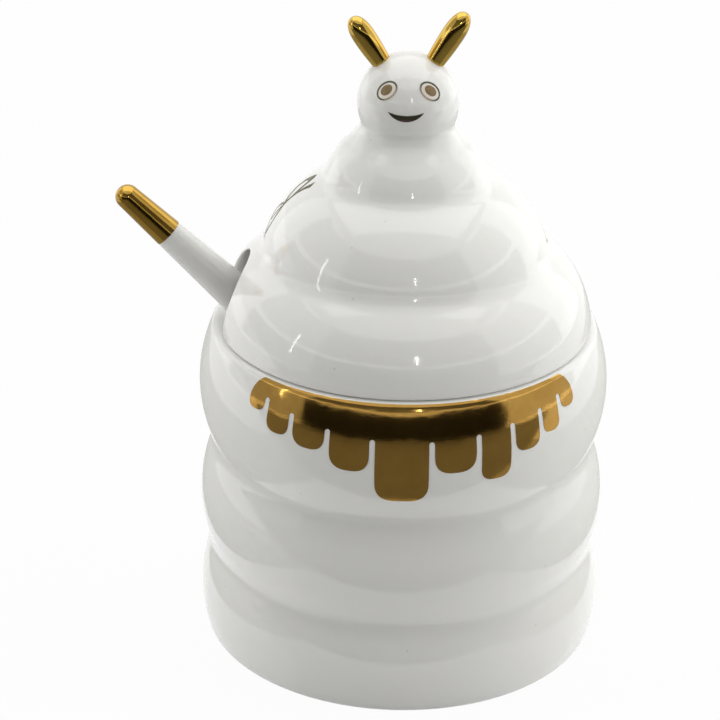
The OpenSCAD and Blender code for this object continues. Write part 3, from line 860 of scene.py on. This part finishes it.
# Dipper: a solid porcelain rod with a grooved comb at its lower end, glazed all over. It
# leans on the mouth's inner edge, and its comb stands in the pot's far corner.
dipper_len = 150 * mm
tip_r = 2.9 * mm
rod_r = 4.85 * mm
neck_r = 3.5 * mm
comb_r = 11 * mm
comb_len = 27 * mm
comb_grooves = 5
comb_groove_depth = 4.2 * mm
comb_start = 0.9 * mm
comb_end_gap = 0.4 * mm
groove_lip = 0.5 * mm
groove_from, groove_to, groove_edge = -0.02, 0.10, 0.12
fin_from, fin_to = 0.24, 0.88
fin_round, fin_arc = 0.9 * mm, 0.12
dipper_gap = 0.35 * mm
mouth_edge_r = rim_r - wall
comb_reach = comb_len / 2 + dipper_gap
comb_at = Vector((lower_groove[0] - wall - comb_reach, 0, floor_z + comb_reach))
edge_rise, edge_run = pot_h - comb_at.z, comb_at.x + mouth_edge_r
lean_away = rod_r + dipper_gap
dipper_lean = math.atan2(edge_rise, edge_run) + math.asin(lean_away / math.hypot(edge_rise, edge_run))
cross = Vector((lean_away * math.sin(dipper_lean) - mouth_edge_r, 0,
                pot_h + lean_away * math.cos(dipper_lean)))
comb_below = (cross.z - comb_at.z) / math.sin(dipper_lean) + comb_len / 2
rod_top = dipper_len - tip_r
leaning = (Matrix.Translation(cross) @ Matrix.Rotation(dipper_lean - math.pi / 2, 4, "Y")
           @ Matrix.Translation((0, 0, -comb_below)))


def comb_edge(z):
    """The radius of the comb's barrel outline at a height above its end."""
    return comb_r * math.sqrt(max(0, 1 - abs(2 * z / comb_len - 1) ** 3))


def comb_profile():
    """Rounded fins with grooves between them, inside a barrel outline."""
    pitch = comb_len / (comb_grooves + 1)
    points = []
    for i in range(comb_grooves + 1):
        z0 = i * pitch
        if i:
            z = z0 + groove_from * pitch
            points += [(comb_edge(z) - comb_groove_depth + groove_lip, z),
                       (comb_edge(z0 + groove_edge * pitch) - comb_groove_depth, z0 + groove_to * pitch)]
        for t in np.linspace(0, 1, 9):
            z = z0 + lerp(fin_from, fin_to, t) * pitch
            worn = fin_round * (1 - math.sin(math.pi * lerp(fin_arc, 1 - fin_arc, t)))
            points.append((max(comb_edge(z) - worn, neck_r), z))
    return points


def rod_radius(z):
    """The rod swells from the comb to the rim, then tapers to its rounded tip."""
    if z < comb_below:
        t = (z - comb_len) / (comb_below - comb_len)
        return lerp(neck_r, rod_r, 3 * t * t - 2 * t ** 3)
    return lerp(rod_r, tip_r, (z - comb_below) / (rod_top - comb_below))


rod_profile = [(rod_radius(z), z) for z in np.linspace(comb_len + comb_end_gap, rod_top, 60)]
tip_profile = [(tip_r * math.cos(a), rod_top + tip_r * math.sin(a))
               for a in np.linspace(0, math.pi / 2, 14)[1:-1]]
dipper_profile = [(0, comb_start)] + comb_profile() + rod_profile + tip_profile + [(0, dipper_len)]
dipper = lathe("dipper_rod_and_comb", dipper_profile, segments=96, place=leaning, sharp=50)
dipper.data.materials.append(porcelain)
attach(dipper, "dipper")
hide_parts("dipper")


# Dipper gilding: gold lustre on the rod's last stretch, put on by dipping the tip. It is a
# film over the glaze, with a clean edge round the rod.
gold_tip = 16.2 * mm
gilt_sink = 0.02 * mm
gilt_step = 0.1 * mm
gilt_start = dipper_len - gold_tip
gilt_r = rod_radius(gilt_start)
gilt_profile = (
    [(gilt_r - gilt_sink, gilt_start), (gilt_r + film, gilt_start + gilt_step)]
    + [(r + film, z) for r, z in rod_profile if z > gilt_start + 2 * gilt_step]
    + [((tip_r + film) * math.cos(a), rod_top + (tip_r + film) * math.sin(a))
       for a in np.linspace(0, math.pi / 2, 16)[1:-1]]
    + [(0, dipper_len + film)])
gilding = lathe("dipper_gold_tip", gilt_profile, segments=96, place=leaning)
gilding.data.materials.append(lustre("tip_gold", (0.52, 0.33, 0.07, 1), (0.36, 0.20, 0.03, 1), 0.08))
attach(gilding, "dipper")
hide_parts("dipper_gilding")


# Floor: a plain pale matt surface under the pot. The camera and the glaze see it as near
# white, with the object's soft shadow on it.
floor_half = 1.6
floor_tone = 0.75
floor_white = 0.96
floor_mesh = bpy.data.meshes.new("pale_floor")
floor_mesh.from_pydata([(x * floor_half, y * floor_half, 0) for x, y in ((-1, -1), (1, -1), (1, 1), (-1, 1))],
                       [], [(0, 1, 2, 3)])
floor = bpy.data.objects.new("pale_floor", floor_mesh)
scene.collection.objects.link(floor)


def white_when_seen(tree, lit, share):
    """Mixes plain white into a surface or surround for what the eye, metal and glass see."""
    ray, = wire(tree, ("ShaderNodeLightPath", {}, {}))
    shiny, = wire(tree, ("ShaderNodeMath", {0: (ray, "Is Glossy Ray"), 1: (ray, "Is Transmission Ray")},
                         {"operation": "MAXIMUM"}))
    seen, = wire(tree, ("ShaderNodeMath", {0: (ray, "Is Camera Ray"), 1: (shiny, 0)},
                        {"operation": "MAXIMUM"}))
    part, = wire(tree, ("ShaderNodeMath", {0: (seen, 0), 1: share}, {"operation": "MULTIPLY"}))
    white, = wire(tree, ("ShaderNodeEmission", {"Color": (1, 1, 1, 1), "Strength": 1.0}, {}))
    mixed, = wire(tree, ("ShaderNodeMixShader", {0: (part, 0), 1: lit, 2: (white, "Emission")}, {}))
    return mixed


floor_material = bpy.data.materials.new("pale_floor")
floor_material.use_nodes = True
floor_tree = floor_material.node_tree
floor_shader = floor_tree.nodes["Principled BSDF"]
floor_shader.inputs["Base Color"].default_value = (floor_tone, floor_tone, floor_tone, 1)
floor_shader.inputs["Roughness"].default_value = 0.9
floor_look = white_when_seen(floor_tree, (floor_shader, "BSDF"), floor_white)
floor_tree.links.new(floor_look.outputs[0], floor_tree.nodes["Material Output"].inputs["Surface"])
floor.data.materials.append(floor_material)


# Studio: a pale surround with soft panels right, left and overhead, each once for gloss and
# once stronger for matt surfaces, a small fill on the left and two narrow strips. Dark cards
# that only gloss sees put the dark band in the gold and the tones in the glaze.
surround_level = 0.17
world = bpy.data.worlds.new("studio")
scene.world = world
world.use_nodes = True
world_tree = world.node_tree
surround = world_tree.nodes["Background"]
surround.inputs["Color"].default_value = (1.0, 1.0, 0.99, 1)
surround.inputs["Strength"].default_value = surround_level
world_look = white_when_seen(world_tree, (surround, "Background"), 1.0)
world_tree.links.new(world_look.outputs[0], world_tree.nodes["World Output"].inputs["Surface"])


def panel(name, place, aim, width, height, radiance, shines=True):
    """A soft rectangular lamp at a place, turned toward a point, of an even brightness. One
    that does not shine lights matt surfaces only."""
    data = bpy.data.lights.new(name, "AREA")
    data.shape = "RECTANGLE"
    data.size, data.size_y = width, height
    data.energy = radiance * math.pi * width * height
    lamp = bpy.data.objects.new(name, data)
    lamp.location = place
    lamp.rotation_euler = (Vector(aim) - Vector(place)).to_track_quat("-Z", "Y").to_euler()
    lamp.visible_glossy = shines
    scene.collection.objects.link(lamp)


for shines, right_level, left_level, top_level in ((True, 0.80, 0.5, 1.1), (False, 2.1, 1.0, 1.4)):
    panel("right_panel", (0.60, 0.15, 0.40), (0, 0.15, 0.40), 1.10, 0.76, right_level, shines)
    panel("left_panel", (-0.60, 0.12, 0.40), (0, 0.12, 0.40), 1.10, 0.76, left_level, shines)
    panel("top_panel", (0.0, 0.28, 0.82), (0, 0.14, 0), 1.1, 1.0, top_level, shines)
panel("front_lamp", (0.118, -0.80, 0.46), (0, 0, 0.11), 0.014, 0.12, 30.0)
panel("left_fill", (-0.62, -0.24, 0.22), (0, 0, 0.10), 0.40, 0.40, 0.4, False)
panel("left_strip", (-0.80, -0.29, 0.34), (0, 0, 0.10), 0.02, 0.30, 7.0)


def dark_card(name, verts, faces, tone):
    """A matt card that only gloss sees: it isn't in the picture and casts no shadow."""
    mesh = bpy.data.meshes.new(name)
    mesh.from_pydata(verts, [], faces)
    card = bpy.data.objects.new(name, mesh)
    scene.collection.objects.link(card)
    material = bpy.data.materials.new(name)
    material.use_nodes = True
    shader = material.node_tree.nodes["Principled BSDF"]
    shader.inputs["Base Color"].default_value = (tone, tone, tone * 0.95, 1)
    shader.inputs["Roughness"].default_value = 0.9
    mesh.materials.append(material)
    card.visible_camera = False
    card.visible_shadow = False
    card.visible_diffuse = False


card_r = 1.15
card_turns = [math.radians(a) for a in np.linspace(-112, 108, 56)]
for name, low, high, tone in (("far_card", 0.002, 0.40, 0.02), ("upper_card", 0.48, 1.30, 0.34)):
    dark_card(name,
              [(card_r * math.sin(a), -card_r * math.cos(a), z) for a in card_turns for z in (low, high)],
              [(2 * i, 2 * i + 2, 2 * i + 3, 2 * i + 1) for i in range(len(card_turns) - 1)], tone)
near_z, near_half, near_edge = 0.0006, 0.9, -0.088
dark_card("near_card",
          [(-near_half, -card_r, near_z), (near_half, -card_r, near_z),
           (near_half, near_edge, near_z), (-near_half, near_edge, near_z)],
          [(0, 1, 2, 3)], 0.24)
side_in, side_out, side_end = 0.075, 0.22, 0.30
dark_card("side_cards",
          [(x * side, y, near_z) for side in (-1, 1) for x, y in
           ((side_out, near_edge), (side_in, near_edge), (side_in, side_end), (side_out, side_end))],
          [(0, 1, 2, 3), (4, 7, 6, 5)], 0.50)

scene.view_settings.view_transform = "Standard"
